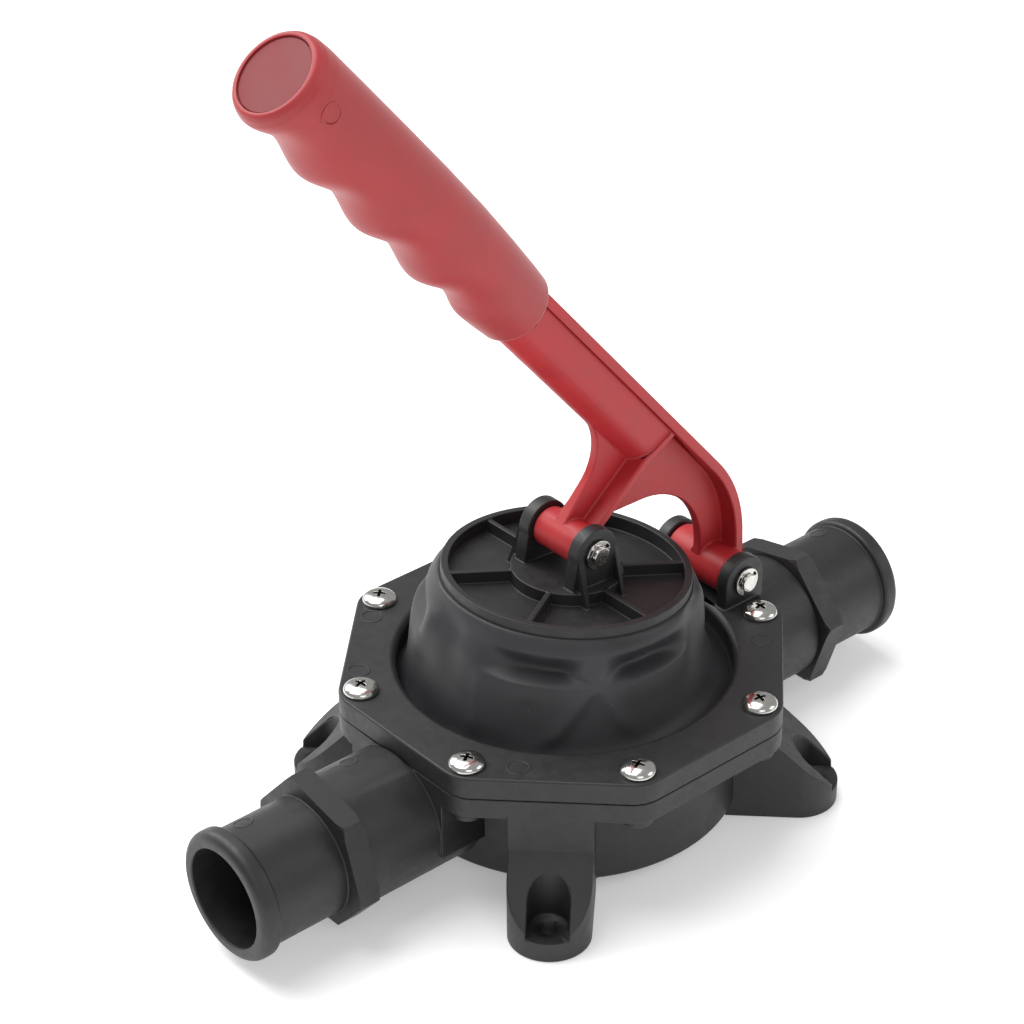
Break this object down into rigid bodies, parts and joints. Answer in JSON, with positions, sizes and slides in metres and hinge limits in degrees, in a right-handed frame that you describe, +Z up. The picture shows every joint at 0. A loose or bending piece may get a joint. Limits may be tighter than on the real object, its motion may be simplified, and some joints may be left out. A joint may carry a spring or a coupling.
{
  "type": "manual diaphragm bilge pump",
  "caption": "Hand-operated diaphragm bilge pump: round black body on feet, clamped rubber diaphragm, hose tails in line and a long red lever with a grip.",
  "frame": {"origin": "on the mounting surface, under the centre of the bowl, level with the undersides of the feet", "axes": "+Z up from the mounting surface; +X toward the outlet hose tail and the lever's fulcrum; the lever swings in the XZ plane and its pins lie along Y"},
  "size_m": [0.266, 0.136, 0.2814],
  "materials": {
    "black_plastic": "satin moulded glass-filled nylon",
    "black_rubber": "satin moulded rubber",
    "red_plastic": "satin moulded plastic",
    "red_grip": "soft matte moulded grip",
    "stainless": "polished stainless steel"
  },
  "bodies": {
    "base": {"pump_body": "black_plastic", "clamp_ring": "black_plastic", "ring_screws": "stainless", "diaphragm": "black_rubber", "fulcrum_pin": "stainless", "fulcrum_pin_clip": "stainless", "inlet_hose_tail": "black_plastic", "outlet_hose_tail": "black_plastic", "inlet_seal_ring": "black_rubber", "outlet_seal_ring": "black_rubber", "inlet_valve_seat": "black_plastic", "outlet_valve_seat": "black_plastic", "inlet_flap_pin": "stainless", "outlet_flap_pin": "stainless"},
    "lever": {"lever": "red_plastic", "grip": "red_grip", "grip_end_plug": "red_grip"},
    "plate": {"upper_plate": "black_plastic", "lower_plate": "black_plastic", "plate_bolt": "stainless", "plate_bolt_washer": "stainless", "plate_pin": "stainless", "plate_pin_clip": "stainless"},
    "inlet_flap": {"inlet_flap": "black_rubber"},
    "outlet_flap": {"outlet_flap": "black_rubber"}
  },
  "joints": [
    {"name": "lever_swing", "type": "hinge", "parent": "base", "child": "lever", "pos_m": [0.0618, 0, 0.0598], "axis": [0, -1, 0], "range_deg": [0, 28], "deforming": ["diaphragm"]},
    {"name": "plate_tilt", "type": "hinge", "parent": "lever", "child": "plate", "pos_m": [0.00116, 0, 0.09373], "axis": [0, -1, 0], "range_deg": [-23.3, 0]},
    {"name": "inlet_flap_swing", "type": "hinge", "parent": "base", "child": "inlet_flap", "pos_m": [-0.0541, 0, 0.0361], "axis": [0, -1, 0], "range_deg": [0, 35]},
    {"name": "outlet_flap_swing", "type": "hinge", "parent": "base", "child": "outlet_flap", "pos_m": [0.0609, 0, 0.0361], "axis": [0, -1, 0], "range_deg": [0, 35]}
  ],
  "couplings": [
    {"joint": "plate_tilt", "follows": "lever_swing", "ratio": -0.829}
  ]
}
